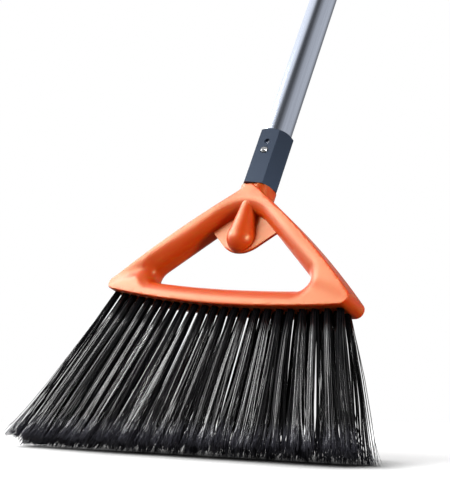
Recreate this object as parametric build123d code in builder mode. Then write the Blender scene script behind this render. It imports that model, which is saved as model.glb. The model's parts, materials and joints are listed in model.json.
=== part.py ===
from build123d import *
import math
import os

os.makedirs("parts", exist_ok=True)

# Outdoor broom, in millimetres.
# Every piece is drawn upright: x across the head, y to the back, z up along the handle.
# z = 0 is where the axis of the handle meets the trimmed ends of the bristles.
# The last lines lean the finished pieces back and sideways, as the broom stands in use.

# Stance
lean_back = 20.0
lean_side = 7.5

# Fits
slide_fit = 0.10
seat_fit = 0.15
loose_fit = 0.50

# Handle tube
tube_od = 25.0
tube_wall = 1.25
tube_length = 1180.0
tube_id = tube_od - 2 * tube_wall

# Hexagonal ferrule with its screw stud
ferrule_z = 232.0
ferrule_length = 55.0
ferrule_flats = 29.3
ferrule_floor = 9.0
ferrule_turn = 13.0
ferrule_bevel = 0.6
ferrule_bevel_slope = 0.88
stud_od = 13.0
stud_length = 38.0
stud_chamfer = 1.5

# Snap button in the ferrule, and the bent spring behind it
button_z = 264.5
spare_hole_z = 273.2
spare_hole_od = 5.0
button_od = 6.0
button_proud = 1.6
button_bevel = 1.2
spring_strip = 8.0
spring_gauge = 0.8
spring_front = 9.1
spring_back = 10.4
spring_bend_rise = 34.0
spring_tail = 7.0
spring_gap = 0.3

# Head frame
head_depth = 28.0
bar_z = 119.3
bar_radius = 1040.0
bar_end = 14.0
arm_middle = (67.0, 185.2)
arm_top = (2.0, 231.3)
corner_round = 6.5
open_z = 136.0
open_top = 217.6
open_slope = 0.825
open_rise = 3.4
open_round = 8.0
open_top_round = 35.0
outer_edge = 0.8
inner_round = 13.0
inner_back_round = 10.0

# Neck, socket boss and web under the apex
neck_wide = 30.0
neck_deep = 25.6
neck_round = 10.0
neck_bottom = 221.0
boss_low_y = -1.5
boss_low_z = 184.5
boss_low_radius = 13.0
boss_top_y = -7.0
boss_top_z = 219.5
boss_top_radius = 5.5
socket_wall = 2.6
socket_y = 1.0
socket_depth = 42.0
socket_lap = 2.0
web_thick = 2.6
web_low = 171.2
web_round = 28.0
web_angle = 39.0
web_flank = 22.0
web_root = 6.0

# Bristles in three rows of tufts, the middle row set between the other two
tuft_count = 23
tuft_half = 115.5
row_pitch = 5.2
tuft_base = 1.6
strand_side = 0.75
strands = 5
tip_half = 161.0
tip_y = -8.5
tip_row_pitch = 8.5
tip_spread_x = 6.2
tip_spread_y = 4.6
flat_cut = 0.5
slice_thick = 4.0
slice_wide = 5.0
slice_end = 2.5
slice_gap = 0.05
pocket_run = 3.0
anchor_size = (4.4, 0.5, 1.6)
anchor_sink = 2.2
anchor_fit = 0.2

# End cap with hanging hole
cap_length = 34.0
plug_length = 28.0
cap_taper = 4.0
cap_taper_length = 7.0
plug_chamfer = 1.0
hang_hole_od = 8.0
hang_hole_drop = 15.0

# Planes that follow the turn of the ferrule
turn = math.radians(ferrule_turn)
outward = (math.sin(turn), -math.cos(turn), 0)
sideways = (math.cos(turn), math.sin(turn), 0)
backhand = (-math.cos(turn), -math.sin(turn), 0)
button_plane = Plane(origin=(0, 0, button_z), x_dir=sideways, z_dir=outward)
spare_plane = Plane(origin=(0, 0, spare_hole_z), x_dir=sideways, z_dir=outward)
spring_plane = Plane(origin=(0, 0, button_z), x_dir=outward, z_dir=backhand)

tube_z = ferrule_z + ferrule_floor
cap_z = tube_z + tube_length
slice_half = tuft_half + slice_end
bar_half = slice_half + bar_end


def bar_rise(x):
    """Height of the bar's curved underside above its middle, at x."""
    return bar_radius - math.sqrt(bar_radius ** 2 - x ** 2)


def bar_pocket(half, low, high):
    """Edges of the pocket that follows the underside of the bar, from low to high above it."""
    end_z = bar_z + bar_rise(half)
    ThreePointArc((-half, end_z + low), (0, bar_z + low), (half, end_z + low))
    Line((half, end_z + low), (half, end_z + high))
    ThreePointArc((half, end_z + high), (0, bar_z + high), (-half, end_z + high))
    Line((-half, end_z + high), (-half, end_z + low))


def slice_outline(count, half):
    """Edges of one row's slice, with a short flat under each tuft."""
    step = 2 * half / (count - 1)
    stations = [-slice_half]
    for gap in range(count - 1):
        stations.append(-half + step * (gap + 0.5))
    stations.append(slice_half)
    low = [(x, bar_z + bar_rise(x)) for x in stations]
    high = [(x, z + slice_thick) for x, z in reversed(low)]
    Polyline(*low, *high, close=True)


# Head frame: triangular moulding with a crisp outer edge and a soft edge round the opening
arm_corner = (bar_half, bar_z + bar_rise(bar_half))
left_corner = (-arm_corner[0], arm_corner[1])
left_middle = (-arm_middle[0], arm_middle[1])
left_top = (-arm_top[0], arm_top[1])
with BuildPart() as head_frame:
    with BuildSketch(Plane.XZ):
        with BuildLine():
            ThreePointArc(left_corner, (0, bar_z), arm_corner)
            ThreePointArc(arm_corner, arm_middle, arm_top)
            Line(arm_top, left_top)
            ThreePointArc(left_top, left_middle, left_corner)
        outline = make_face()
        fillet(outline.vertices().group_by(Axis.Y)[0], radius=corner_round)
    extrude(amount=head_depth / 2, both=True)
    front = head_frame.faces().sort_by(Axis.Y)[0]
    back = head_frame.faces().sort_by(Axis.Y)[-1]
    chamfer(front.edges() + back.edges(), length=outer_edge)
    with BuildSketch(Plane.XZ) as opening:
        open_half = (open_top - open_z - open_rise) / open_slope
        open_end = open_top - open_slope * open_half
        with BuildLine():
            ThreePointArc((-open_half, open_end), (0, open_z), (open_half, open_end))
            Line((open_half, open_end), (0, open_top))
            Line((0, open_top), (-open_half, open_end))
        make_face()
        fillet(opening.vertices().group_by(Axis.Y)[0], radius=open_round)
        fillet(opening.vertices().sort_by(Axis.Y)[-1], radius=open_top_round)
    extrude(amount=head_depth, both=True, mode=Mode.SUBTRACT)
    front_rim = head_frame.faces().sort_by(Axis.Y)[0].inner_wires()[0]
    fillet(front_rim.edges(), radius=inner_round)
    back_rim = head_frame.faces().sort_by(Axis.Y)[-1].inner_wires()[0]
    fillet(back_rim.edges(), radius=inner_back_round)
    # Web on the middle plane, its lower edge an arc with two straight flanks
    with BuildSketch(Plane.XZ):
        lean = math.radians(web_angle)
        flank_x = web_round * math.sin(lean)
        flank_z = web_low + web_round * (1 - math.cos(lean))
        end_x = flank_x + web_flank
        end_z = flank_z + web_flank * math.tan(lean)
        with BuildLine():
            ThreePointArc((-flank_x, flank_z), (0, web_low), (flank_x, flank_z))
            Line((flank_x, flank_z), (end_x, end_z))
            Line((end_x, end_z), (0, open_top + web_root))
            Line((0, open_top + web_root), (-end_x, end_z))
            Line((-end_x, end_z), (-flank_x, flank_z))
        make_face()
    extrude(amount=web_thick / 2, both=True)
    # Socket boss: a sloping cone that widens downwards to a dome, with the socket's wall behind it
    boss_low = Vector(0, boss_low_y, boss_low_z)
    boss_run = Vector(0, boss_top_y, boss_top_z) - boss_low
    boss_sine = (boss_low_radius - boss_top_radius) / boss_run.length
    boss_cosine = math.sqrt(1 - boss_sine ** 2)
    cone_foot = boss_low + boss_run.normalized() * (boss_low_radius * boss_sine)
    with Locations(Plane(origin=cone_foot, z_dir=boss_run)):
        Cone(
            boss_low_radius * boss_cosine,
            boss_top_radius * boss_cosine,
            boss_run.length * boss_cosine ** 2,
            align=(Align.CENTER, Align.CENTER, Align.MIN),
        )
    with Locations(boss_low):
        Sphere(boss_low_radius)
    with BuildSketch(Plane.XY.offset(boss_low_z)):
        with Locations((0, socket_y)):
            Circle(stud_od / 2 + socket_wall)
    extrude(amount=neck_bottom - boss_low_z + socket_lap)
    # Neck under the ferrule, with the screw socket
    with BuildSketch(Plane.XY.offset(neck_bottom)):
        RectangleRounded(neck_wide, neck_deep, neck_round)
    extrude(amount=ferrule_z - neck_bottom)
    with Locations((0, 0, ferrule_z)):
        Hole(radius=stud_od / 2 + seat_fit, depth=socket_depth)
    # Pocket for the tufted slices
    with BuildSketch(Plane.XZ):
        with BuildLine():
            bar_pocket(slice_half + seat_fit, -pocket_run, slice_thick + slice_gap)
        make_face()
    extrude(amount=row_pitch + slice_wide / 2 + seat_fit, both=True, mode=Mode.SUBTRACT)
head_frame.part.label = "head_frame"


def strand_solid(root, tip):
    """One three-sided strand, a sloping prism from its root in the slice to its trimmed tip."""
    with BuildSketch(Plane.XY.offset(root[2]), mode=Mode.PRIVATE) as section:
        with Locations((root[0], root[1])):
            RegularPolygon(strand_side, 3)
    run = Vector(tip[0] - root[0], tip[1] - root[1], tip[2] - root[2])
    return Solid.extrude(section.sketch.faces()[0], run)


def row_strands(count, half, row):
    """All strands of one row, fanned out sideways and trimmed along a sloping line."""
    found = []
    for tuft in range(count):
        base_x = -half + 2 * half * tuft / (count - 1)
        mid_x = base_x * tip_half / tuft_half
        for strand in range(strands):
            around = math.radians(360 / strands * strand + 30)
            root_x = base_x + tuft_base * math.cos(around)
            root_y = row * row_pitch + tuft_base * math.sin(around)
            tip_x = mid_x + tip_spread_x * math.cos(around)
            tip_by = tip_y + row * tip_row_pitch + tip_spread_y * math.sin(around)
            root_z = bar_z + bar_rise(root_x) + slice_thick / 4
            tip_z = tip_x * math.tan(math.radians(lean_side))
            found.append(strand_solid((root_x, root_y, root_z), (tip_x, tip_by, tip_z)))
    return found


def anchor_spots(count, half, row):
    """Floors of the anchor pockets in the top of one slice."""
    spots = []
    for tuft in range(count):
        base_x = -half + 2 * half * tuft / (count - 1)
        spots.append((base_x, row * row_pitch, bar_z + bar_rise(base_x) + slice_thick - anchor_sink))
    return spots


# The floor as the broom stands on its back tips, in the upright axes
stance_turn = Rot(X=-lean_back) * Rot(Y=lean_side)
deepest = tip_y + tip_row_pitch + tip_spread_y
floor_drop = deepest * math.sin(math.radians(lean_back)) - flat_cut
STANCE = Pos(0, -deepest * math.cos(math.radians(lean_back)), floor_drop) * stance_turn
floor = Plane.XY.location
floor_upright = Plane(STANCE.inverse() * floor)

middle_half = tuft_half * (tuft_count - 2) / (tuft_count - 1)
row_layout = {
    "front": (tuft_count, tuft_half, -1),
    "middle": (tuft_count - 1, middle_half, 0),
    "back": (tuft_count, tuft_half, 1),
}
pieces = [head_frame]
anchor_places = []

# Bristle rows: a slice of the bar with all strands of the row fused to it at once
for row_name, (count, half, row) in row_layout.items():
    row_solids = row_strands(count, half, row)
    spots = anchor_spots(count, half, row)
    anchor_places.extend(spots)
    with BuildPart() as bristle_row:
        with BuildSketch(Plane.XZ.offset(-row * row_pitch)):
            with BuildLine():
                slice_outline(count, half)
            make_face()
        extrude(amount=slice_wide / 2, both=True)
        with Locations(spots):
            Box(
                anchor_size[0] + 2 * anchor_fit,
                anchor_size[1] + 2 * anchor_fit,
                slice_thick,
                align=(Align.CENTER, Align.CENTER, Align.MIN),
                mode=Mode.SUBTRACT,
            )
        add(row_solids)
        split(bisect_by=floor_upright, keep=Keep.TOP)
    bristle_row.part.label = f"bristle_row_{row_name}"
    pieces.append(bristle_row)

# Tuft anchors: short flat wires pressed over the fold of each tuft
with BuildPart() as tuft_anchors:
    with Locations(anchor_places):
        Box(*anchor_size, align=(Align.CENTER, Align.CENTER, Align.MIN))
tuft_anchors.part.label = "tuft_anchors"
pieces.append(tuft_anchors)

# Hexagonal ferrule: tube seat above, screw stud below, two holes in the front flat
with BuildPart() as hex_ferrule:
    with BuildSketch(Plane.XY.offset(ferrule_z)):
        RegularPolygon(ferrule_flats / 2, 6, major_radius=False, rotation=ferrule_turn)
    extrude(amount=ferrule_length)
    # The top is turned to a cone, so its corners are cut lower than its flats
    with BuildSketch(Plane.XZ):
        with BuildLine():
            corner_radius = ferrule_flats / math.sqrt(3)
            rim_radius = ferrule_flats / 2 - ferrule_bevel
            ferrule_top = ferrule_z + ferrule_length
            corner_z = ferrule_top - (corner_radius - rim_radius) * ferrule_bevel_slope
            Polyline(
                (0, ferrule_z),
                (corner_radius, ferrule_z),
                (corner_radius, corner_z),
                (rim_radius, ferrule_top),
                (0, ferrule_top),
                close=True,
            )
        make_face()
    revolve(axis=Axis.Z, mode=Mode.INTERSECT)
    with BuildSketch(Plane.XY.offset(ferrule_z)):
        Circle(stud_od / 2)
    extrude(amount=-stud_length)
    chamfer(hex_ferrule.edges().group_by(Axis.Z)[0], length=stud_chamfer)
    with Locations((0, 0, ferrule_z + ferrule_length)):
        Hole(radius=tube_od / 2 + slide_fit, depth=ferrule_length - ferrule_floor)
    with BuildSketch(button_plane):
        Circle(button_od / 2 + loose_fit)
    extrude(amount=ferrule_flats, mode=Mode.SUBTRACT)
    with BuildSketch(spare_plane):
        Circle(spare_hole_od / 2)
    extrude(amount=ferrule_flats, mode=Mode.SUBTRACT)
hex_ferrule.part.label = "hex_ferrule"
pieces.append(hex_ferrule)

# Handle tube
with BuildPart() as handle_tube:
    with BuildSketch(Plane.XY.offset(tube_z)):
        Circle(tube_od / 2)
        Circle(tube_id / 2, mode=Mode.SUBTRACT)
    extrude(amount=tube_length)
    with BuildSketch(button_plane):
        Circle(button_od / 2 + loose_fit)
    extrude(amount=tube_od, mode=Mode.SUBTRACT)
handle_tube.part.label = "handle_tube"
pieces.append(handle_tube)

# Snap button: a pin with a turned bevel, on the front leg of the spring
button_tip = ferrule_flats / 2 + button_proud
with BuildPart() as snap_button:
    with BuildSketch(button_plane.offset(spring_front)):
        Circle(button_od / 2)
    extrude(amount=button_tip - spring_front)
    button_axis = Axis(origin=(0, 0, button_z), direction=outward)
    button_face = snap_button.faces().sort_by(button_axis)[-1]
    chamfer(button_face.edges(), length=button_bevel)
snap_button.part.label = "snap_button"
pieces.append(snap_button)

# Spring leaf: the front leg that carries the button
leaf_in = spring_front - spring_gauge
with BuildPart() as spring_leaf:
    with BuildSketch(spring_plane):
        with Locations((spring_front, -spring_tail)):
            Rectangle(
                spring_gauge,
                spring_bend_rise + spring_tail - spring_gap,
                align=(Align.MAX, Align.MIN),
            )
    extrude(amount=spring_strip / 2, both=True)
spring_leaf.part.label = "spring_leaf"
pieces.append(spring_leaf)

# Spring clip: the arched bend and the back leg, resting on the far wall of the tube
back_in = spring_back - spring_gauge
bend_middle = (spring_front - spring_back) / 2
bend_out = spring_bend_rise + (spring_front + spring_back) / 2
bend_in = bend_out - spring_gauge
with BuildPart() as spring_clip:
    with BuildSketch(spring_plane):
        with BuildLine():
            Line((leaf_in, spring_bend_rise), (spring_front, spring_bend_rise))
            ThreePointArc(
                (spring_front, spring_bend_rise),
                (bend_middle, bend_out),
                (-spring_back, spring_bend_rise),
            )
            Line((-spring_back, spring_bend_rise), (-spring_back, -spring_tail))
            Line((-spring_back, -spring_tail), (-back_in, -spring_tail))
            Line((-back_in, -spring_tail), (-back_in, spring_bend_rise))
            ThreePointArc((-back_in, spring_bend_rise), (bend_middle, bend_in), (leaf_in, spring_bend_rise))
        make_face()
    extrude(amount=spring_strip / 2, both=True)
spring_clip.part.label = "spring_clip"
pieces.append(spring_clip)

# End cap: a plug in the tube and a tapered end with the hanging hole
with BuildPart() as end_cap:
    with BuildSketch(Plane.XY.offset(cap_z - plug_length)):
        Circle(tube_id / 2 - slide_fit)
    extrude(amount=plug_length)
    with BuildSketch(Plane.XY.offset(cap_z)):
        Circle(tube_od / 2)
    extrude(amount=cap_length)
    end_face = end_cap.faces().sort_by(Axis.Z)[-1]
    chamfer(end_face.edges(), length=cap_taper, length2=cap_taper_length, reference=end_face)
    chamfer(end_cap.edges().group_by(Axis.Z)[0], length=plug_chamfer)
    with BuildSketch(Plane.YZ):
        with Locations((0, cap_z + cap_length - hang_hole_drop)):
            Circle(hang_hole_od / 2)
    extrude(amount=tube_od, both=True, mode=Mode.SUBTRACT)
end_cap.part.label = "end_cap"
pieces.append(end_cap)

# Lean every piece into the stance and write it
for piece in pieces:
    placed = piece.part
    placed.move(STANCE)
    export_step(placed, f"parts/{placed.label}.step")
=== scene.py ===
import json
import math

import bpy
import numpy as np
from bpy.props import FloatProperty, FloatVectorProperty, IntProperty, PointerProperty
from mathutils import Matrix, Vector

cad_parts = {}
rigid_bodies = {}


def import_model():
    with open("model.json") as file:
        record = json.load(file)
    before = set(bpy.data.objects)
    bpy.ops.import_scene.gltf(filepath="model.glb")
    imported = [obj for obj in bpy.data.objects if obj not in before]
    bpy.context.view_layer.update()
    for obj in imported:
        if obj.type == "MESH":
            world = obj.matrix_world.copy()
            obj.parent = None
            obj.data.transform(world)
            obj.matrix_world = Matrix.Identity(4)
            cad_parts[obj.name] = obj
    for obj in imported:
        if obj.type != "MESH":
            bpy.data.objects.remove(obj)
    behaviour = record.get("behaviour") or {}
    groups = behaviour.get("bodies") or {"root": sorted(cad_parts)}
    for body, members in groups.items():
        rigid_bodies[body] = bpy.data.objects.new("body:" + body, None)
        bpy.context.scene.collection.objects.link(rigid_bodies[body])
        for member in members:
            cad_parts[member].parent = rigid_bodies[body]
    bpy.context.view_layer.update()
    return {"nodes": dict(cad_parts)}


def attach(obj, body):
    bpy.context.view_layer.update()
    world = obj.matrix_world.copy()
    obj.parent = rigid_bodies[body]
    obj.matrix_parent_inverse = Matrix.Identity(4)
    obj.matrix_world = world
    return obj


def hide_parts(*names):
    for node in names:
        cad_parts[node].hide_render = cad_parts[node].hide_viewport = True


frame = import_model()

bl_info = {
    "name": "Outdoor Broom Dressing",
    "version": (1, 0, 0),
    "blender": (4, 5, 0),
    "location": "View3D > Sidebar > Broom",
    "description": "Adds bristles, tube, finishes and a plain studio to the packed outdoor broom",
    "category": "Object",
}

# The stance of the broom. New pieces are modelled upright, x across, y to the back and z up the handle.
LEAN_BACK = math.radians(20.0)
LEAN_SIDE = math.radians(7.5)
STAND_Y = 0.0046
FLAT_CUT = 0.0005
STANCE = (
    Matrix.Translation((0, -STAND_Y * math.cos(LEAN_BACK), STAND_Y * math.sin(LEAN_BACK) - FLAT_CUT))
    @ Matrix.Rotation(-LEAN_BACK, 4, "X")
    @ Matrix.Rotation(LEAN_SIDE, 4, "Y")
)
UPRIGHT = STANCE.inverted()
BODY = "broom"

# The tufts, as they stand in the solids. Each row has a number of tufts, half a width and a place in depth.
BAR_Z = 0.1193
BAR_RADIUS = 1.040
TUFT_HALF = 0.1155
ROW_PITCH = 0.0052
TIP_HALF = 0.161
TIP_Y = -0.0085
TIP_ROW_PITCH = 0.0085
SLICE_HALF = 0.118
SLICE_WIDE = 0.0050
SLICE_THICK = 0.0040
ROWS = {
    "front": (23, TUFT_HALF, -1),
    "middle": (22, TUFT_HALF * 21 / 22, 0),
    "back": (23, TUFT_HALF, 1),
}

# The bed round the tufts: the rim of each recess, its depth, and how much thinner the bed is than its slice
BED_RIM = 0.0006
BED_RECESS = 0.0007
BED_THINNER = 0.0008

# A bristle: shares of the way from root to tip, and its thickness there
SEED = 11
BRISTLE_SIDES = 5
STATIONS = np.array((0.0, 0.22, 0.45, 0.66, 0.82, 0.92, 1.0))
TAPER = np.interp(STATIONS, (0.0, 0.8, 1.0), (1.0, 0.95, 0.55))
THINNEST = 0.85
THICKEST = 1.15
ROOT_COVER = 0.0006
FLOOR_GAP = 0.0003
SIDEWAYS = (1, 1, 0)
OWN_BOW = 0.6
CURL_FROM = 0.66
CURL_WAYS = (1, 1, 0.25)

# A tuft: places of its bristles and clumps in tuft radii, and how far clumps have gathered at each station
GOLDEN_TURN = math.radians(137.508)
CLUMP_RING = 0.66
CLUMP_DRIFT = 0.16
CLUMP_WEAR = 0.6
GATHER = np.interp(STATIONS, (0.0, 0.15, 0.75, 1.0), (0.0, 0.1, 1.0, 0.75))
STRAY = 0.06
FAR_STRAY = 0.5
FAR_STRAY_SHARE = 0.05
STRAY_LIMIT = 1.15
FLARE_POWER = 0.95
END_TUFT_FLARE = 0.25
END_TUFT_WITHIN = 0.001
TUFT_WANDER = 0.0009
RAGGED_BELOW = 0.35
TRIM_RISE = 0.0011

# The fibres of a split end: the station they start at, how late at most, their fan and their thickness
FIBRES = 3
FIBRE_STATION = -3
FIBRE_LATEST = 0.65
FIBRE_FAN = (0.0013, 0.0013, 0.0008)
FIBRE_BEND = 0.35
FIBRE_ALONG = np.array((0.86, 0.93, 1.0))
FIBRE_TAPER = 0.42 * np.array((1.0, 0.9, 0.6))

# The shoulder where each arm steps back behind the bar: its height at growing distance from the middle
SHOULDER_X = (0.083, 0.092, 0.105, 0.1185)
SHOULDER_Z = (0.1425, 0.1420, 0.1395, 0.1345)
SHOULDER_WIDE = 0.0130
ARM_STEP = 0.0014
STEP_RIGHT = 0.4
HEAD_DEEP = 0.014
NECK_Z = 0.223
NECK_RUN = 0.011
MIDDLE_WIDE = 0.05

# The opening of the head, and the hollow along each arm's inner edge, which is shallow on the right
OPEN_TOP = 0.2176
OPEN_SLOPE = 0.825
HOLLOW_DEEP = 0.0036
HOLLOW_WIDE = 0.0150
HOLLOW_END = 0.0150
HOLLOW_LEAD = 0.35
HOLLOW_X = 0.040
HOLLOW_RUN = 0.055
HOLLOW_RIGHT = 0.15

# New edges for these soft forms: first place, end and distance of each set of cuts, and where they apply
CORNER_CUTS_X = (0.042, 0.1225, 0.0027)
CORNER_CUTS_Z = (0.1290, 0.1950, 0.0020)
CORNER_X = 0.036
CORNER_TOP = 0.200
NECK_CUTS_Z = (0.2230, 0.2345, 0.0019)
NECK_LOW = 0.215
MERGE_WITHIN = 0.00001
HEAD_SMOOTH = math.radians(32)

# The handle, as it stands in the solids
TUBE_LOW = 0.241
TUBE_HIGH = 1.421
TUBE_RADIUS = 0.0125
TUBE_WALL = 0.00125
TUBE_SIDES = 96
TUBE_SMOOTH = math.radians(35)
FERRULE_TURN = math.radians(13.0)
BUTTON_Z = 0.2645
BUTTON_HOLE = 0.0035
BUTTON_HOLE_SIDES = 32

# The finishes
PLASTIC_IOR = 1.55
BRISTLE_IOR = 1.8
GLOW_RADIUS = (1.0, 0.12, 0.04)
GLOW_DEPTH = 0.008
HEAD_SATIN = {"roughness": 0.38, "grain": 0.05, "glow": 0.6, "sheen": (1.0, 0.88, 0.50)}
FERRULE_SATIN = {"roughness": 0.45, "grain": 0.08, "glow": 0.0, "sheen": (0.55, 0.68, 0.85)}
TUBE_BRUSHED = {"roughness": 0.19, "stretch": (900.0, 900.0, 9.0)}
BUTTON_POLISHED = {"roughness": 0.16, "stretch": (500.0, 500.0, 500.0)}
BUTTON_BRIGHT = 1.1
SPRING_ROLLED = {"roughness": 0.34, "stretch": (600.0, 600.0, 20.0)}

# The lamps
HEAD_MIDDLE = Vector((0.02, 0.05, 0.17))
KEY_SIDE = (-0.68, -0.48, 0.56)
KEY_DISTANCE = 1.6
FILL_SIDE = (0.93, -0.30, 0.0)
FILL_DISTANCE = 1.0
FILL_AIM = Vector((0.085, 0.062, 0.160))
FILL_BEAM = math.radians(12.0)
FILL_BLEND = 0.35
FILL_RADIUS = 0.10

# The surround: each soft wall as the direction of its middle, and the angles where it starts and ends to fade
LEFT_HIGH_WALL = ((-0.72, 0.12, 0.66), math.radians(34), math.radians(68))
LEFT_WALL = ((-0.82, 0.36, 0.45), math.radians(26), math.radians(46))
RIGHT_WALL = ((0.88, 0.30, 0.36), math.radians(5), math.radians(66))
SIDE_WALL = ((0.80, 0.55, 0.05), math.radians(50), math.radians(105))
BACK_WALL = ((-0.10, 0.97, 0.25), math.radians(30), math.radians(70))
OVERHEAD = (math.radians(58), math.radians(70))

# The floor: its size, the distances where it starts and ends to turn white, and the painted contact shadow by
# the bristles
FLOOR_SIZE = 60.0
FLOOR_NEAR = 0.30
FLOOR_FAR = 0.70
FLOOR_DULL = (0.08, 0.08, 0.08, 1.0)
# Painted contact shadow on the floor: its samples, and its strength from weak on the left to firm further
# right
PAINTED_SHADOW_SAMPLES = 8
PAINTED_SHADOW_WEAK_X = -0.17
PAINTED_SHADOW_FIRM_X = -0.03
PAINTED_SHADOW_WEAK = 0.5
PAINTED_SHADOW_FIRM = 3.0

# The camera
VIEW_PLACE = (0.41386, -0.50265, 0.04967)
VIEW_AIM = Vector((-0.5789, 0.7960, 0.1766))
VIEW_SENSOR = 36.0
VIEW_NEAR = 0.01
VIEW_FAR = 100.0


class BroomBristleSettings(bpy.types.PropertyGroup):
    """Sizes and colours of the bristles"""

    per_tuft: IntProperty(
        name="Bristles per tuft", description="Bristles in one tuft", default=36, min=6, max=90
    )
    radius: FloatProperty(
        name="Bristle radius", description="Half the thickness of a bristle",
        default=0.00034, unit="LENGTH", precision=5,
    )
    root_spread: FloatProperty(
        name="Root spread", description="Radius of a tuft at the head",
        default=0.0027, unit="LENGTH", precision=4,
    )
    tip_spread_x: FloatProperty(
        name="Tip spread across", description="Half width of a tuft at the floor",
        default=0.0069, unit="LENGTH", precision=4,
    )
    tip_spread_y: FloatProperty(
        name="Tip spread in depth", description="Half depth of a tuft at the floor",
        default=0.0050, unit="LENGTH", precision=4,
    )
    ragged: FloatProperty(
        name="Ragged trim", description="How far the ends differ in length",
        default=0.0024, unit="LENGTH", precision=4,
    )
    bow: FloatProperty(
        name="Bow", description="How far a bristle bends between its ends",
        default=0.0007, unit="LENGTH", precision=4,
    )
    curl: FloatProperty(
        name="Curl", description="How far an end curls away", default=0.0016, unit="LENGTH", precision=4
    )
    clumps: IntProperty(
        name="Clumps", description="Clumps that a tuft parts into", default=7, min=1, max=12
    )
    pull: FloatProperty(
        name="Clump pull", description="How close the bristles of a clump draw", default=0.55, min=0, max=1
    )
    colour: FloatVectorProperty(
        name="Bristle colour", description="Colour of the bristles",
        subtype="COLOR", default=(0.006, 0.006, 0.007),
    )
    # The light grey of the split ends is partly wear and partly painted light standing in for the pale floor
    # below
    worn_and_floor_lit_colour: FloatVectorProperty(
        name="Worn end colour", description="Colour of the split ends",
        subtype="COLOR", default=(0.16, 0.16, 0.20),
    )


class BroomFinishSettings(bpy.types.PropertyGroup):
    """Colours of the hard pieces"""

    head: FloatVectorProperty(
        name="Head colour", description="Moulded head", subtype="COLOR", default=(0.51, 0.052, 0.002)
    )
    ferrule: FloatVectorProperty(
        name="Ferrule colour", description="Ferrule and end cap",
        subtype="COLOR", default=(0.016, 0.025, 0.047),
    )
    tube: FloatVectorProperty(
        name="Tube colour", description="Handle tube", subtype="COLOR", default=(0.62, 0.675, 0.80)
    )
    steel: FloatVectorProperty(
        name="Steel colour", description="Button, spring and wire",
        subtype="COLOR", default=(0.70, 0.71, 0.72),
    )


class BroomStageSettings(bpy.types.PropertyGroup):
    """Light, floor and camera"""

    key_power: FloatProperty(
        name="Key light", description="Power of the large soft light", default=53.0, unit="POWER"
    )
    key_width: FloatProperty(
        name="Key width", description="Width of the soft light", default=1.8, unit="LENGTH"
    )
    key_height: FloatProperty(
        name="Key height", description="Height of the soft light", default=0.8, unit="LENGTH"
    )
    fill_power: FloatProperty(
        name="Fill light", description="Power of the narrow light on the right", default=52.0, unit="POWER"
    )
    left_glow: FloatProperty(
        name="Left glow", description="Brightness of the wall on the left", default=4.2
    )
    left_high_glow: FloatProperty(
        name="High left glow", description="Brightness high on the left", default=1.25
    )
    right_glow: FloatProperty(
        name="Right glow", description="Brightness of the wall on the right", default=0.63
    )
    side_glow: FloatProperty(
        name="Side glow", description="Brightness low on the right and at the back", default=0.40
    )
    back_glow: FloatProperty(
        name="Back glow", description="Brightness of the wall at the back", default=0.15
    )
    ambient: FloatProperty(name="Ambient", description="Light from all other sides", default=0.09)
    floor: FloatVectorProperty(
        name="Floor colour", description="Plain pale floor", subtype="COLOR", default=(0.60, 0.60, 0.60)
    )
    floor_glow: FloatProperty(
        name="Floor glow", description="Light that the pale floor sends to the camera", default=0.52
    )
    far_floor: FloatProperty(
        name="Far floor", description="Light that the far floor gives back to the broom", default=0.45
    )
    # Reach of the painted contact shadow that darkens the floor under the bristles
    painted_shadow_reach: FloatProperty(
        name="Contact", description="Reach of the dark under the bristles", default=0.05, unit="LENGTH"
    )
    lens: FloatProperty(name="Lens", description="Focal length of the camera", default=61.858, unit="CAMERA")


def pick_only(*objects):
    """Selects these objects and nothing else; the last one is active."""
    if bpy.context.mode != "OBJECT":
        bpy.ops.object.mode_set(mode="OBJECT")
    bpy.ops.object.select_all(action="DESELECT")
    for each in objects:
        each.select_set(True)
        bpy.context.view_layer.objects.active = each


def named(name):
    """The active object, under a plain name."""
    made = bpy.context.active_object
    made.name = name
    made.data.name = name
    return made


def lean(piece):
    """Turns a piece that was modelled upright into the broom's stance, with its place in its mesh."""
    pick_only(piece)
    piece.matrix_world = STANCE @ piece.matrix_world
    bpy.ops.object.transform_apply(location=True, rotation=True, scale=True)


def bar_rise(x):
    """How much higher than its middle the curved underside of the head is at x."""
    return BAR_RADIUS - np.sqrt(BAR_RADIUS**2 - np.square(x))


def points_of(piece):
    """The places of a piece's vertices, one row each."""
    places = np.empty(len(piece.data.vertices) * 3, np.float32)
    piece.data.vertices.foreach_get("co", places)
    return places.reshape(-1, 3)


def eased(share):
    """A soft ramp from 0 to 1."""
    share = np.clip(share, 0, 1)
    return share * share * (3 - 2 * share)


def finish_with(piece, material):
    """Gives a piece this one material."""
    piece.data.materials.clear()
    piece.data.materials.append(material)


def blank_material(name, colour, roughness, metallic=0.0):
    """A new material with its principled shader, ready for the nodes that vary it."""
    material = bpy.data.materials.new(name)
    material.use_nodes = True
    shader = material.node_tree.nodes["Principled BSDF"]
    shader.inputs["Base Color"].default_value = (*colour, 1.0)
    shader.inputs["Roughness"].default_value = roughness
    shader.inputs["Metallic"].default_value = metallic
    material.diffuse_color = (*colour, 1.0)
    return material, shader


def node(owner, kind, place, **values):
    """A node of a material or a world at a place in the editor, with its settings and its input values."""
    made = owner.node_tree.nodes.new(kind)
    made.location = place
    for key, value in values.items():
        if hasattr(made, key) and key not in made.inputs:
            setattr(made, key, value)
        else:
            made.inputs[key.replace("_", " ")].default_value = value
    return made


def link(owner, start, end):
    """Joins an output socket to an input socket."""
    owner.node_tree.links.new(start, end)


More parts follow.
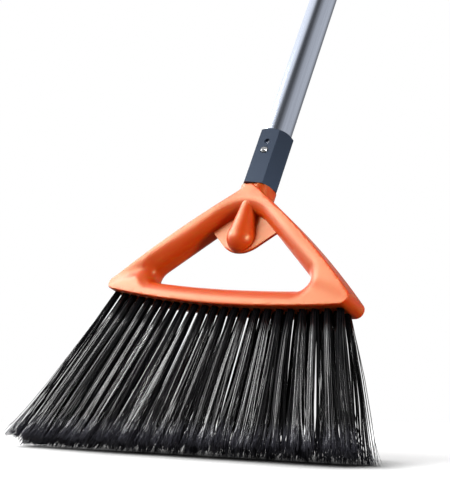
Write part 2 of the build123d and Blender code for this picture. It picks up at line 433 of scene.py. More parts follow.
def along_handle(material, stretch):
    """Object coordinates turned upright, so that a pattern runs along the handle, stretched by this much."""
    where = node(material, "ShaderNodeTexCoord", (-1300, 0))
    upright = node(material, "ShaderNodeMapping", (-1100, 0), vector_type="POINT")
    upright.inputs["Rotation"].default_value = UPRIGHT.to_euler()
    stretched = node(material, "ShaderNodeMapping", (-900, 0), vector_type="POINT")
    stretched.inputs["Scale"].default_value = stretch
    link(material, where.outputs["Object"], upright.inputs["Vector"])
    link(material, upright.outputs["Vector"], stretched.inputs["Vector"])
    return stretched.outputs["Vector"]


def tinted(material, shader, where, colour, scale, low, high):
    """Lets the base colour drift between a darker and a lighter share of one colour."""
    noise = node(material, "ShaderNodeTexNoise", (-650, 200), Scale=scale, Detail=2.0)
    ramp = node(material, "ShaderNodeValToRGB", (-400, 200))
    dark, light = ramp.color_ramp.elements
    dark.position = 0.35
    dark.color = (*scaled(colour, low), 1.0)
    light.position = 0.65
    light.color = (*scaled(colour, high), 1.0)
    link(material, where, noise.inputs["Vector"])
    link(material, noise.outputs["Fac"], ramp.inputs["Fac"])
    link(material, ramp.outputs["Color"], shader.inputs["Base Color"])


def roughened(material, shader, where, scale, low, high):
    """Lets the roughness drift between low and high in soft patches."""
    noise = node(material, "ShaderNodeTexNoise", (-650, -300), Scale=scale, Detail=3.0)
    spread = node(
        material, "ShaderNodeMapRange", (-400, -300), From_Min=0.3, From_Max=0.7, To_Min=low, To_Max=high
    )
    link(material, where, noise.inputs["Vector"])
    link(material, noise.outputs["Fac"], spread.inputs["Value"])
    link(material, spread.outputs["Result"], shader.inputs["Roughness"])


def grained(material, shader, where, scale, strength, distance):
    """Fine surface grain, as a mould or a rolling mill leaves it."""
    noise = node(material, "ShaderNodeTexNoise", (-650, -600), Scale=scale, Detail=4.0)
    bump = node(material, "ShaderNodeBump", (-300, -600), Strength=strength, Distance=distance)
    link(material, where, noise.inputs["Vector"])
    link(material, noise.outputs["Fac"], bump.inputs["Height"])
    link(material, bump.outputs["Normal"], shader.inputs["Normal"])


def scaled(colour, share):
    """A colour made lighter or darker."""
    return tuple(min(1.0, channel * share) for channel in colour)


def moulded_plastic(name, colour, roughness, grain, glow, sheen):
    """Satin moulded plastic with a fine grain and slight flow marks, and light that glows through it."""
    material, shader = blank_material(name, colour, roughness)
    where = node(material, "ShaderNodeTexCoord", (-1100, 0)).outputs["Object"]
    tinted(material, shader, where, colour, scale=14.0, low=0.95, high=1.05)
    roughened(material, shader, where, scale=45.0, low=roughness - 0.04, high=roughness + 0.04)
    grained(material, shader, where, scale=1500.0, strength=grain, distance=0.0002)
    shader.inputs["IOR"].default_value = PLASTIC_IOR
    shader.inputs["Specular Tint"].default_value = (*sheen, 1.0)
    shader.inputs["Subsurface Weight"].default_value = glow
    shader.inputs["Subsurface Radius"].default_value = GLOW_RADIUS
    shader.inputs["Subsurface Scale"].default_value = GLOW_DEPTH
    return material


def brushed_metal(name, colour, roughness, stretch):
    """Metal with fine lines along the handle."""
    material, shader = blank_material(name, colour, roughness, metallic=1.0)
    where = along_handle(material, stretch)
    tinted(material, shader, where, colour, scale=1.0, low=0.95, high=1.04)
    roughened(material, shader, where, scale=1.3, low=roughness - 0.05, high=roughness + 0.06)
    grained(material, shader, where, scale=2.0, strength=0.03, distance=0.0001)
    return material


def bristle_plastic(settings):
    """Black bristle plastic. The ends turn a light grey, partly real wear and partly painted light standing
    in for the pale floor below them, and each bristle has its own roughness and gloss.
    """
    colour, wear_and_floor_light = tuple(settings.colour), tuple(settings.worn_and_floor_lit_colour)
    material, shader = blank_material("bristle_plastic", colour, roughness=0.26)
    shader.inputs["IOR"].default_value = BRISTLE_IOR
    shader.inputs["Specular IOR Level"].default_value = 0.4
    along = node(material, "ShaderNodeAttribute", (-900, 200), attribute_name="along")
    shade = node(material, "ShaderNodeAttribute", (-900, -100), attribute_name="shade")
    # The ends blend towards the lighter grey: partly wear, partly painted light from the floor below
    ends = node(
        material, "ShaderNodeMapRange", (-650, 200), interpolation_type="SMOOTHSTEP",
        From_Min=0.80, From_Max=1.0, To_Min=0.0, To_Max=1.0,
    )
    share = node(material, "ShaderNodeMath", (-450, 100), operation="MULTIPLY")
    ramp = node(material, "ShaderNodeValToRGB", (-250, 100))
    ramp.color_ramp.elements[0].color = (*colour, 1.0)
    ramp.color_ramp.elements[1].color = (*wear_and_floor_light, 1.0)
    rough = node(material, "ShaderNodeMapRange", (-450, -200), To_Min=0.30, To_Max=0.14)
    gloss = node(
        material, "ShaderNodeMapRange", (-450, -450), From_Min=0.46, From_Max=0.83, To_Min=0.02, To_Max=1.0
    )
    link(material, along.outputs["Fac"], ends.inputs["Value"])
    link(material, ends.outputs["Result"], share.inputs[0])
    link(material, shade.outputs["Fac"], share.inputs[1])
    link(material, share.outputs["Value"], ramp.inputs["Fac"])
    link(material, ramp.outputs["Color"], shader.inputs["Base Color"])
    link(material, shade.outputs["Fac"], rough.inputs["Value"])
    link(material, rough.outputs["Result"], shader.inputs["Roughness"])
    link(material, shade.outputs["Fac"], gloss.inputs["Value"])
    link(material, gloss.outputs["Result"], shader.inputs["Specular IOR Level"])
    return material


def bristle_blank(sides, rings):
    """One straight bristle, modelled as a closed prism of unit radius with a ring at each whole height.
    Gives each corner's ring and direction, and the faces."""
    pick_only()
    bpy.ops.mesh.primitive_circle_add(vertices=sides, radius=1.0, fill_type="NGON")
    bpy.ops.object.mode_set(mode="EDIT")
    bpy.ops.mesh.select_all(action="SELECT")
    for _ in range(rings - 1):
        bpy.ops.mesh.extrude_region_move(TRANSFORM_OT_translate={"value": (0, 0, 1)})
    bpy.ops.mesh.select_all(action="SELECT")
    bpy.ops.mesh.normals_make_consistent(inside=False)
    bpy.ops.object.mode_set(mode="OBJECT")
    blank = bpy.context.active_object
    corners = np.array([v.co for v in blank.data.vertices])
    faces = [list(p.vertices) for p in blank.data.polygons]
    bpy.data.objects.remove(blank)
    return np.rint(corners[:, 2]).astype(int), corners[:, 0], corners[:, 1], faces


def side_faces(blank):
    """Which faces of a straight bristle are its sides, and not its two flat ends."""
    ring, _, _, faces = blank
    return np.array([len(set(ring[face])) > 1 for face in faces])


def swept(blank, paths, radii):
    """Copies of one straight bristle, each laid along its own path. Gives corners and faces."""
    ring, across, up, faces = blank
    run = paths[:, -1] - paths[:, 0]
    run /= np.linalg.norm(run, axis=1, keepdims=True)
    first = np.cross(run, (0.0, 1.0, 0.0))
    first /= np.linalg.norm(first, axis=1, keepdims=True)
    second = np.cross(run, first)
    offset = across[None, :, None] * first[:, None, :] + up[None, :, None] * second[:, None, :]
    corners = paths[:, ring] + radii[:, ring, None] * offset
    size = len(ring)
    copied = [[size * n + v for v in face] for n in range(len(paths)) for face in faces]
    return corners.reshape(-1, 3), copied


def above_floor(points):
    """Raises the points that would be below the floor once the broom stands, by moving them up the handle."""
    turn = np.array(STANCE.to_3x3())
    height = points @ turn[2] + STANCE.translation[2]
    points[..., 2] += np.maximum(0.0, FLOOR_GAP - height) / turn[2, 2]
    return points


def tuft_spots(count, settings, draw):
    """Where the bristles stand in the round bundles of their tufts, the middles of the clumps that they are
    drawn to, and the number of each one's clump."""
    each = settings.per_tuft
    order = np.tile(np.arange(each), count)
    turned = np.repeat(draw.uniform(0, 2 * math.pi, count), each)
    out = np.sqrt((order + 0.5) / each)
    around = order * GOLDEN_TURN + turned
    spot = np.stack((out * np.cos(around), out * np.sin(around)), axis=1)
    ring = np.arange(settings.clumps) * 2 * math.pi / max(1, settings.clumps - 1)
    centres = CLUMP_RING * np.stack((np.cos(ring), np.sin(ring)), axis=1)
    centres[0] = 0.0
    clump = np.argmin(np.linalg.norm(spot[:, None] - centres[None], axis=2), axis=1)
    drift = draw.normal(0, CLUMP_DRIFT, (count, settings.clumps, 2))
    return spot, centres[clump] + drift[np.repeat(np.arange(count), each), clump], clump


def tuft_paths(count, half, row, settings, draw):
    """Root-to-tip paths of all bristles of one row, with a share from 0 to 1 for each one's wear, which also
    sets how much painted floor light lightens its end.
    A tuft leaves its hole as a round bundle, parts into clumps on its way down and flares at the floor."""
    each = settings.per_tuft
    total = count * each
    share = STATIONS[None, :, None]
    spot, centre, clump = tuft_spots(count, settings, draw)
    pull = settings.pull * GATHER[None, :, None]
    place = spot[:, None] * (1 - pull) + centre[:, None] * pull
    stray = draw.normal(0, STRAY, (total, 2))
    far_stray = draw.normal(0, FAR_STRAY, (total, 2))
    stray += far_stray * (draw.random_sample((total, 1)) < FAR_STRAY_SHARE)
    place = np.clip(place + stray[:, None] * share, -STRAY_LIMIT, STRAY_LIMIT)
    base_x = np.repeat(np.linspace(-half, half, count), each)
    end_tuft = np.abs(base_x) > half - END_TUFT_WITHIN
    place *= 1 + END_TUFT_FLARE * end_tuft[:, None, None] * share
    tip_spread = np.array((settings.tip_spread_x, settings.tip_spread_y))
    spread = settings.root_spread + (tip_spread - settings.root_spread) * share**FLARE_POWER
    root = np.stack((base_x, np.full(total, row * ROW_PITCH)), axis=1)
    tip = np.stack((base_x * TIP_HALF / TUFT_HALF, np.full(total, TIP_Y + row * TIP_ROW_PITCH)), axis=1)
    tip += np.repeat(draw.normal(0, TUFT_WANDER, (count, 2)), each, axis=0)
    paths = np.empty((total, len(STATIONS), 3))
    paths[..., :2] = root[:, None] * (1 - share) + tip[:, None] * share + place * spread
    high = BAR_Z + bar_rise(paths[:, :1, 0]) + ROOT_COVER
    low = paths[:, -1:, 0] * math.tan(LEAN_SIDE)
    low += settings.ragged * (draw.random_sample((total, 1)) - RAGGED_BELOW)
    low += TRIM_RISE * (1 - row)
    paths[..., 2] = high * (1 - STATIONS) + low * STATIONS
    own_bow = draw.normal(0, settings.bow, (total, 1, 3)) * SIDEWAYS
    tuft_bow = np.repeat(draw.normal(0, settings.bow, (count, 1, 3)), each, axis=0) * SIDEWAYS
    paths += (own_bow * OWN_BOW + tuft_bow) * 4 * share * (1 - share)
    curl = draw.normal(0, settings.curl, (total, 1, 3)) * CURL_WAYS
    paths += curl * np.clip((share - CURL_FROM) / (1 - CURL_FROM), 0, 1) ** 2
    # Each bristle's share of wear and painted floor light, shared in part by its clump; it also sets its
    # roughness and gloss
    clump_wear_and_floor_light = draw.random_sample((count, settings.clumps))[np.repeat(np.arange(count), each), clump]
    wear_and_floor_light = CLUMP_WEAR * clump_wear_and_floor_light + (1 - CLUMP_WEAR) * draw.random_sample(total)
    return above_floor(paths), wear_and_floor_light


def split_ends(paths, wear_and_floor_light, draw):
    """Thin fibres that fan out of the last stretch of every bristle, each with its bristle's share of wear
    and of painted floor light.
    """
    end = np.repeat(paths[:, -1], FIBRES, axis=0)
    later = draw.uniform(0.0, FIBRE_LATEST, (len(end), 1))
    start = np.repeat(paths[:, FIBRE_STATION], FIBRES, axis=0) * (1 - later) + end * later
    fan = draw.normal(0, 1.0, (len(end), 3)) * FIBRE_FAN
    middle = (start + end) / 2 + fan * FIBRE_BEND
    fibres = np.stack([start, middle, end + fan], axis=1)
    return above_floor(fibres), np.repeat(wear_and_floor_light, FIBRES)


class BROOM_OT_bristle_rows(bpy.types.Operator):
    """Models the three rows of bristles, tuft by tuft, over the plain strands of the solids"""

    bl_idname = "broom.bristle_rows"
    bl_label = "Bristle rows"

    def execute(self, context):
        settings = context.scene.broom_bristles
        draw = np.random.RandomState(SEED)
        blank = bristle_blank(BRISTLE_SIDES, len(STATIONS))
        fibre_blank = bristle_blank(BRISTLE_SIDES, len(FIBRE_ALONG))
        plastic = bristle_plastic(settings)
        for name, (count, half, row) in ROWS.items():
            paths, wear_and_floor_light = tuft_paths(count, half, row, settings, draw)
            thick = settings.radius * draw.uniform(THINNEST, THICKEST, len(paths))
            fibres, fibre_wear_and_floor_light = split_ends(paths, wear_and_floor_light, draw)
            corners, faces = swept(blank, paths, thick[:, None] * TAPER)
            fibre_radii = np.tile(settings.radius * FIBRE_TAPER, (len(fibres), 1))
            fibre_corners, fibre_faces = swept(fibre_blank, fibres, fibre_radii)
            faces += [[len(corners) + v for v in face] for face in fibre_faces]
            mesh = bpy.data.meshes.new(f"bristles_{name}")
            mesh.from_pydata(np.vstack((corners, fibre_corners)).tolist(), [], faces)
            along = np.tile(STATIONS[blank[0]], len(paths))
            fibre_along = np.tile(FIBRE_ALONG[fibre_blank[0]], len(fibres))
            self.note(mesh, "along", along, fibre_along)
            # Noted for the material: the share of wear and of painted floor light that lightens each end, and
            # that sets gloss and roughness
            shade = np.repeat(wear_and_floor_light, len(blank[0]))
            fibre_shade = np.repeat(fibre_wear_and_floor_light, len(fibre_blank[0]))
            self.note(mesh, "shade", shade, fibre_shade)
            rounded = np.tile(side_faces(blank), len(paths))
            fibre_rounded = np.tile(side_faces(fibre_blank), len(fibres))
            mesh.polygons.foreach_set("use_smooth", np.concatenate((rounded, fibre_rounded)))
            piece = bpy.data.objects.new(f"bristles_{name}", mesh)
            context.scene.collection.objects.link(piece)
            lean(piece)
            finish_with(piece, plastic)
            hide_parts(f"bristle_row_{name}")
            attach(piece, BODY)
        return {"FINISHED"}

    @staticmethod
    def note(mesh, key, values, fibre_values):
        """Notes a value for every corner of the bristles and of their fibres, for the material to read."""
        noted = np.concatenate((values, fibre_values)).astype(np.float32)
        mesh.attributes.new(key, "FLOAT", "POINT").data.foreach_set("value", noted)


class BROOM_OT_tuft_bed(bpy.types.Operator):
    """Models the three tufted strips that close the underside of the head"""

    bl_idname = "broom.tuft_bed"
    bl_label = "Tuft bed"

    def execute(self, context):
        strips = []
        for name, (count, _, row) in ROWS.items():
            pick_only()
            bpy.ops.mesh.primitive_grid_add(
                x_subdivisions=count, y_subdivisions=1, size=1.0, location=(0, row * ROW_PITCH, BAR_Z)
            )
            strip = named(f"tuft_strip_{name}")
            strip.scale = (2 * SLICE_HALF, SLICE_WIDE, 1.0)
            bpy.ops.object.transform_apply(location=True, rotation=True, scale=True)
            bpy.ops.object.mode_set(mode="EDIT")
            bpy.ops.mesh.select_all(action="SELECT")
            bpy.ops.mesh.inset(thickness=BED_RIM, use_individual=True)
            bpy.ops.transform.translate(value=(0, 0, BED_RECESS))
            bpy.ops.mesh.select_all(action="SELECT")
            bpy.ops.mesh.flip_normals()
            bpy.ops.object.mode_set(mode="OBJECT")
            wall = strip.modifiers.new("wall", "SOLIDIFY")
            wall.thickness = SLICE_THICK - BED_THINNER
            wall.offset = -1.0
            bpy.ops.object.modifier_apply(modifier=wall.name)
            for vertex in strip.data.vertices:
                vertex.co.z += bar_rise(vertex.co.x)
            strips.append(strip)
        pick_only(*strips)
        bpy.ops.object.join()
        bed = named("tuft_bed")
        lean(bed)
        finish_with(bed, bpy.data.materials["head_plastic"])
        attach(bed, BODY)
        return {"FINISHED"}


class BROOM_OT_head(bpy.types.Operator):
    """Models the head from a copy of its solid, with the arms set back behind the front of the bar"""

    bl_idname = "broom.head"
    bl_label = "Head"

    def execute(self, context):
        pick_only(frame["nodes"]["head_frame"])
        bpy.ops.object.duplicate()
        head = named("head")
        pick_only(head)
        head.matrix_world = UPRIGHT @ head.matrix_world
        bpy.ops.object.transform_apply(location=True, rotation=True, scale=True)
        bpy.ops.object.mode_set(mode="EDIT")
        bpy.ops.mesh.select_all(action="SELECT")
        bpy.ops.mesh.remove_doubles(threshold=MERGE_WITHIN)
        bpy.ops.mesh.normals_make_consistent(inside=False)
        self.cut(head, (0, 0, 0), (0, 1, 0), self.anywhere)
        for side in (-1, 1):
            for x in np.arange(*CORNER_CUTS_X):
                self.cut(head, (side * x, 0, 0), (1, 0, 0), self.in_corner)
        for z in np.arange(*CORNER_CUTS_Z):
            self.cut(head, (0, 0, z), (0, 0, 1), self.in_corner)
        for z in np.arange(*NECK_CUTS_Z):
            self.cut(head, (0, 0, z), (0, 0, 1), self.in_neck)
        bpy.ops.object.mode_set(mode="OBJECT")
        head.data.vertices.foreach_set("co", self.set_back(points_of(head)).ravel())
        head.data.update()
        bpy.ops.object.shade_smooth_by_angle(angle=HEAD_SMOOTH)
        even = head.modifiers.new("even", "WEIGHTED_NORMAL")
        even.keep_sharp = True
        even.weight = 100
        bpy.ops.object.modifier_apply(modifier=even.name)
        lean(head)
        finish_with(head, bpy.data.materials["head_plastic"])
        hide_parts("head_frame")
        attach(head, BODY)
        return {"FINISHED"}

    @staticmethod
    def anywhere(places):
        """All points."""
        return np.ones(len(places), bool)

    @staticmethod
    def in_corner(places):
        """Which points belong to the two lower corners."""
        return (np.abs(places[:, 0]) > CORNER_X) & (places[:, 2] < CORNER_TOP)

    @staticmethod
    def in_neck(places):
        """Which points belong to the neck."""
        return places[:, 2] > NECK_LOW

    @staticmethod
    def cut(head, place, normal, chosen):
        """Cuts a line of new edges round the part of the head that is chosen."""
        bpy.ops.mesh.select_mode(type="VERT")
        bpy.ops.object.mode_set(mode="OBJECT")
        head.data.polygons.foreach_set("select", np.zeros(len(head.data.polygons), bool))
        head.data.edges.foreach_set("select", np.zeros(len(head.data.edges), bool))
        head.data.vertices.foreach_set("select", chosen(points_of(head)))
        bpy.ops.object.mode_set(mode="EDIT")
        bpy.ops.mesh.select_more(use_face_step=True)
        bpy.ops.mesh.bisect(plane_co=place, plane_no=normal)

    @staticmethod
    def set_back(places):
        """Moves the front of the arms back behind the bar, above its shoulder, and runs the hollow of each
        arm's inner edge on past the tip of the opening until it ends against the shoulder."""
        x, y, z = np.abs(places[:, 0]), places[:, 1], places[:, 2]
        above = z - np.interp(x, SHOULDER_X, SHOULDER_Z)
        neck = eased((z - NECK_Z) / NECK_RUN)
        step = ARM_STEP * eased(above / SHOULDER_WIDE + 0.5) * (1 - neck)
        inward = (z - (OPEN_TOP - OPEN_SLOPE * x)) / math.hypot(1, OPEN_SLOPE)
        hollow = HOLLOW_DEEP * eased(1 - inward / HOLLOW_WIDE)
        hollow *= eased(above / HOLLOW_END + HOLLOW_LEAD) * eased((x - HOLLOW_X) / HOLLOW_RUN)
        right = eased(places[:, 0] / MIDDLE_WIDE + 0.5)
        step *= 1 - right * (1 - STEP_RIGHT)
        hollow *= 1 - right * (1 - HOLLOW_RIGHT)
        places[:, 1] = y + (step + hollow) * np.clip(-y / HEAD_DEEP, 0, 1)
        return places


class BROOM_OT_handle(bpy.types.Operator):
    """Models the handle tube with its wall and button hole, in brushed metal"""

    bl_idname = "broom.handle"
    bl_label = "Handle tube"

    def execute(self, context):
        metal = brushed_metal("tube_metal", tuple(context.scene.broom_finish.tube), **TUBE_BRUSHED)
        pick_only()
        bpy.ops.mesh.primitive_circle_add(vertices=TUBE_SIDES, radius=TUBE_RADIUS, location=(0, 0, TUBE_LOW))
        tube = named("tube")
        bpy.ops.object.transform_apply(location=True, rotation=True, scale=True)
        bpy.ops.object.mode_set(mode="EDIT")
        bpy.ops.mesh.select_all(action="SELECT")
        bpy.ops.mesh.extrude_region_move(TRANSFORM_OT_translate={"value": (0, 0, TUBE_HIGH - TUBE_LOW)})
        bpy.ops.mesh.select_all(action="SELECT")
        bpy.ops.mesh.normals_make_consistent(inside=False)
        bpy.ops.object.mode_set(mode="OBJECT")
        wall = tube.modifiers.new("wall", "SOLIDIFY")
        wall.thickness = TUBE_WALL
        wall.offset = -1.0
        bpy.ops.object.modifier_apply(modifier=wall.name)
        outward = Vector((math.sin(FERRULE_TURN), -math.cos(FERRULE_TURN), 0.0))
        bpy.ops.mesh.primitive_cylinder_add(
            vertices=BUTTON_HOLE_SIDES, radius=BUTTON_HOLE, depth=TUBE_RADIUS,
            location=outward * TUBE_RADIUS + Vector((0, 0, BUTTON_Z)),
            rotation=outward.to_track_quat("Z", "Y").to_euler(),
        )
        drill = bpy.context.active_object
        pick_only(tube)
        hole = tube.modifiers.new("hole", "BOOLEAN")
        hole.operation = "DIFFERENCE"
        hole.object = drill
        bpy.ops.object.modifier_apply(modifier=hole.name)
        bpy.data.objects.remove(drill)
        bpy.ops.object.shade_smooth_by_angle(angle=TUBE_SMOOTH)
        lean(tube)
        finish_with(tube, metal)
        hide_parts("handle_tube")
        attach(tube, BODY)
        return {"FINISHED"}


class BROOM_OT_hard_finishes(bpy.types.Operator):
    """Gives the moulded head, the ferrule, the cap and the steel pieces their finishes"""

    bl_idname = "broom.hard_finishes"
    bl_label = "Finishes of the hard pieces"

    def execute(self, context):
        finish = context.scene.broom_finish
        head = moulded_plastic("head_plastic", tuple(finish.head), **HEAD_SATIN)
        dark = moulded_plastic("ferrule_plastic", tuple(finish.ferrule), **FERRULE_SATIN)
        bright = scaled(tuple(finish.steel), BUTTON_BRIGHT)
        plated = brushed_metal("button_steel", bright, **BUTTON_POLISHED)
        spring = brushed_metal("spring_steel", tuple(finish.steel), **SPRING_ROLLED)
        wearing = {
            "head_frame": head,
            "hex_ferrule": dark,
            "end_cap": dark,
            "snap_button": plated,
            "spring_leaf": spring,
            "spring_clip": spring,
            "tuft_anchors": spring,
        }
        for name, material in wearing.items():
            finish_with(frame["nodes"][name], material)
        return {"FINISHED"}


class BROOM_OT_studio(bpy.types.Operator):
    """Sets a pale floor, a white surround, soft lights and the camera"""

    bl_idname = "broom.studio"
    bl_label = "Studio"

    def execute(self, context):
        settings = context.scene.broom_stage
        self.floor(settings)
        self.surround(context.scene, settings)
        self.key_light(context.scene, settings)
        self.fill_light(context.scene, settings)
        self.camera(context.scene, settings)
        context.scene.view_settings.view_transform = "Standard"
        return {"FINISHED"}

    def floor(self, settings):
        """A wide pale floor that turns plain white far from the broom, with a painted contact shadow under
        the bristles close by.
        To the broom itself it is dull close by and pale far away."""
        pick_only()
        bpy.ops.mesh.primitive_grid_add(x_subdivisions=8, y_subdivisions=8, size=FLOOR_SIZE)
        floor = named("floor")
        material, paper = blank_material("floor_paper", tuple(settings.floor), roughness=0.9)
        paper.inputs["Specular IOR Level"].default_value = 0.0
        where = node(material, "ShaderNodeTexCoord", (-900, 0)).outputs["Object"]
        # Close by, the floor carries a painted contact shadow under the bristles
        near = self.paper_with_painted_shadow(material, paper, where, settings)
        length = node(material, "ShaderNodeVectorMath", (-700, 0), operation="LENGTH")
        fade = node(
            material, "ShaderNodeMapRange", (-500, 0), interpolation_type="SMOOTHSTEP",
            From_Min=FLOOR_NEAR, From_Max=FLOOR_FAR, To_Min=0.0, To_Max=1.0,
        )
        white = node(material, "ShaderNodeEmission", (-300, -350), Strength=1.0)
        dull = node(material, "ShaderNodeBsdfDiffuse", (-300, -500), Color=FLOOR_DULL)
        pale = node(material, "ShaderNodeEmission", (0, -450), Strength=settings.far_floor)
        shown = node(material, "ShaderNodeMixShader", (200, 0))
        mirrored = node(material, "ShaderNodeMixShader", (200, -450))
        path = node(material, "ShaderNodeLightPath", (0, 300))
        seen = node(material, "ShaderNodeMixShader", (400, 0))
        output = material.node_tree.nodes["Material Output"]
        link(material, where, length.inputs[0])
        link(material, length.outputs["Value"], fade.inputs["Value"])
        link(material, fade.outputs["Result"], shown.inputs["Fac"])
        link(material, near.outputs["Shader"], shown.inputs[1])
        link(material, white.outputs["Emission"], shown.inputs[2])
        link(material, fade.outputs["Result"], mirrored.inputs["Fac"])
        link(material, dull.outputs["BSDF"], mirrored.inputs[1])
        link(material, pale.outputs["Emission"], mirrored.inputs[2])
        link(material, path.outputs["Is Camera Ray"], seen.inputs["Fac"])
        link(material, mirrored.outputs["Shader"], seen.inputs[1])
        link(material, shown.outputs["Shader"], seen.inputs[2])
        link(material, seen.outputs["Shader"], output.inputs["Surface"])
        finish_with(floor, material)

    def paper_with_painted_shadow(self, material, paper, where, settings):
        """The pale floor close to the broom, with a painted contact shadow under the bristles, weaker on the
        left: the floor's colour and glow are darkened where it sees little open sky.
        """
        across = node(material, "ShaderNodeSeparateXYZ", (-900, -250))
        firm = node(
            material, "ShaderNodeMapRange", (-700, -450),
            From_Min=PAINTED_SHADOW_WEAK_X, From_Max=PAINTED_SHADOW_FIRM_X, To_Min=PAINTED_SHADOW_WEAK, To_Max=PAINTED_SHADOW_FIRM,
        )
        # Painted contact shadow: how much open sky each point sees, raised to a power, darkens the floor's
        # colour and its glow
        open_sky = node(
            material, "ShaderNodeAmbientOcclusion", (-700, -250),
            samples=PAINTED_SHADOW_SAMPLES, Distance=settings.painted_shadow_reach,
        )
        darker = node(material, "ShaderNodeMath", (-500, -250), operation="POWER")
        shaded = node(material, "ShaderNodeVectorMath", (-500, 150), operation="SCALE")
        shaded.inputs[0].default_value = tuple(settings.floor)
        lit = node(material, "ShaderNodeMath", (-300, -50), operation="MULTIPLY")
        lit.inputs[1].default_value = settings.floor_glow
        glow = node(material, "ShaderNodeEmission", (-300, -200))
        near = node(material, "ShaderNodeAddShader", (0, 0))
        link(material, where, across.inputs["Vector"])
        link(material, across.outputs["X"], firm.inputs["Value"])
        link(material, open_sky.outputs["AO"], darker.inputs[0])
        link(material, firm.outputs["Result"], darker.inputs[1])
        link(material, darker.outputs["Value"], shaded.inputs["Scale"])
        link(material, shaded.outputs["Vector"], paper.inputs["Base Color"])
        link(material, darker.outputs["Value"], lit.inputs[0])
        link(material, lit.outputs["Value"], glow.inputs["Strength"])
        link(material, paper.outputs["BSDF"], near.inputs[0])
        link(material, glow.outputs["Emission"], near.inputs[1])
        return near

    def surround(self, scene, settings):
        """A studio that looks white, and lights the broom from five soft walls. The walls round the handle's
        own direction, which the tube mirrors, are parted from the lower ones, which the bristles mirror."""
        world = bpy.data.worlds.new("surround")
        world.use_nodes = True
        scene.world = world
        white = world.node_tree.nodes["Background"]
        white.inputs["Color"].default_value = (1, 1, 1, 1)
        white.inputs["Strength"].default_value = 1.0
        where = node(world, "ShaderNodeTexCoord", (-1300, 0)).outputs["Generated"]
        handle = STANCE.to_3x3() @ Vector((0, 0, 1))
        overhead = self.faced(world, 0, where, handle, *OVERHEAD, 1.0)
        below = node(world, "ShaderNodeMath", (-700, 0), operation="SUBTRACT")
        below.inputs[0].default_value = 1.0
        link(world, overhead, below.inputs[1])
        low = below.outputs["Value"]
        total = node(world, "ShaderNodeValue", (-700, 200)).outputs["Value"]
        total.default_value = settings.ambient
        walls = (
            (LEFT_WALL, settings.left_glow, low),
            (LEFT_HIGH_WALL, settings.left_high_glow, overhead),
            (RIGHT_WALL, settings.right_glow, overhead),
            (SIDE_WALL, settings.side_glow, low),
            (BACK_WALL, settings.back_glow, overhead),
        )
        for row, ((direction, inner, outer), glow, part) in enumerate(walls, start=1):
            wall = self.faced(world, row, where, Vector(direction).normalized(), inner, outer, glow)
            added = node(world, "ShaderNodeMath", (-500, -250 * row), operation="MULTIPLY_ADD")
            link(world, wall, added.inputs[0])
            link(world, part, added.inputs[1])
            link(world, total, added.inputs[2])
            total = added.outputs["Value"]
        lit = node(world, "ShaderNodeBackground", (-200, -200))
        path = node(world, "ShaderNodeLightPath", (-200, 300))
        mixed = node(world, "ShaderNodeMixShader", (0, 0))
        link(world, total, lit.inputs["Strength"])
        link(world, path.outputs["Is Camera Ray"], mixed.inputs["Fac"])
        link(world, lit.outputs["Background"], mixed.inputs[1])
        link(world, white.outputs["Background"], mixed.inputs[2])
        link(world, mixed.outputs["Shader"], world.node_tree.nodes["World Output"].inputs["Surface"])

    def faced(self, world, row, where, direction, inner, outer, glow):
        """A soft round patch of the surround: full inside the inner angle from a direction, gone at the
        outer. Its nodes stand in a row of their own."""
        facing = node(world, "ShaderNodeVectorMath", (-1100, -250 * row), operation="DOT_PRODUCT")
        facing.inputs[1].default_value = direction
        edge = node(
            world, "ShaderNodeMapRange", (-900, -250 * row), interpolation_type="SMOOTHSTEP",
            From_Min=math.cos(outer), From_Max=math.cos(inner), To_Max=glow,
        )
        link(world, where, facing.inputs[0])
        link(world, facing.outputs["Value"], edge.inputs["Value"])
        return edge.outputs["Result"]

    def key_light(self, scene, settings):
        """A wide, low and soft light on the left that looks at the head, out of the tube's reflections."""
        data = bpy.data.lights.new("key_light", "AREA")
        data.shape = "RECTANGLE"
        data.size = settings.key_width
        data.size_y = settings.key_height
        data.energy = settings.key_power
        self.hang(scene, data, HEAD_MIDDLE, KEY_SIDE, KEY_DISTANCE)

    def fill_light(self, scene, settings):
        """A narrow lamp low on the right that fills the head's shaded sides."""
        data = bpy.data.lights.new("fill_light", "SPOT")
        data.energy = settings.fill_power
        data.spot_size = FILL_BEAM
        data.spot_blend = FILL_BLEND
        data.shadow_soft_size = FILL_RADIUS
        self.hang(scene, data, FILL_AIM, FILL_SIDE, FILL_DISTANCE)

    def hang(self, scene, data, aim, side, distance):
        """Hangs a lamp at a distance on one side of the place that it lights, turned to it."""
        lamp = bpy.data.objects.new(data.name, data)
        scene.collection.objects.link(lamp)
        towards = Vector(side).normalized()
        lamp.location = aim + towards * distance
        lamp.rotation_mode = "QUATERNION"
        lamp.rotation_quaternion = towards.to_track_quat("Z", "Y")

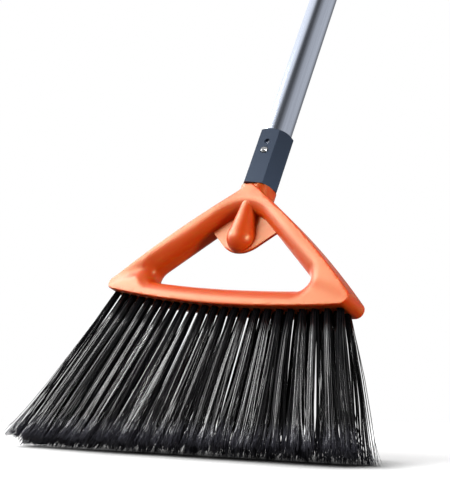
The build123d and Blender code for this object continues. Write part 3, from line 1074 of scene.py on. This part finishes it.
    def camera(self, scene, settings):
        """The camera of the photograph's view, low in front and to the right."""
        data = bpy.data.cameras.new("view")
        data.lens = settings.lens
        data.sensor_width = VIEW_SENSOR
        data.clip_start = VIEW_NEAR
        data.clip_end = VIEW_FAR
        view = bpy.data.objects.new("view", data)
        scene.collection.objects.link(view)
        view.location = VIEW_PLACE
        view.rotation_mode = "QUATERNION"
        view.rotation_quaternion = VIEW_AIM.to_track_quat("-Z", "Y")
        scene.camera = view


class BROOM_PT_panel(bpy.types.Panel):
    """Sidebar panel with the broom's sizes, finishes and steps"""

    bl_idname = "BROOM_PT_panel"
    bl_label = "Outdoor broom"
    bl_space_type = "VIEW_3D"
    bl_region_type = "UI"
    bl_category = "Broom"

    def draw(self, context):
        for group in (context.scene.broom_bristles, context.scene.broom_finish, context.scene.broom_stage):
            box = self.layout.box()
            for key in group.__annotations__:
                box.prop(group, key)
        for step in STEPS:
            self.layout.operator(step.bl_idname)


SETTINGS = {
    "broom_bristles": BroomBristleSettings,
    "broom_finish": BroomFinishSettings,
    "broom_stage": BroomStageSettings,
}
STEPS = (
    BROOM_OT_hard_finishes,
    BROOM_OT_head,
    BROOM_OT_handle,
    BROOM_OT_tuft_bed,
    BROOM_OT_bristle_rows,
    BROOM_OT_studio,
)


def register():
    """Registers the settings, the operators and the panel."""
    for name, group in SETTINGS.items():
        bpy.utils.register_class(group)
        setattr(bpy.types.Scene, name, PointerProperty(type=group))
    for step in (*STEPS, BROOM_PT_panel):
        bpy.utils.register_class(step)


def unregister():
    """Takes the panel, the operators and the settings away again."""
    for step in reversed((*STEPS, BROOM_PT_panel)):
        bpy.utils.unregister_class(step)
    for name, group in reversed(SETTINGS.items()):
        delattr(bpy.types.Scene, name)
        bpy.utils.unregister_class(group)


def main():
    """Dresses the broom."""
    register()
    bpy.ops.broom.hard_finishes()
    bpy.ops.broom.head()
    bpy.ops.broom.handle()
    bpy.ops.broom.tuft_bed()
    bpy.ops.broom.bristle_rows()
    bpy.ops.broom.studio()


if __name__ == "__main__":
    main()
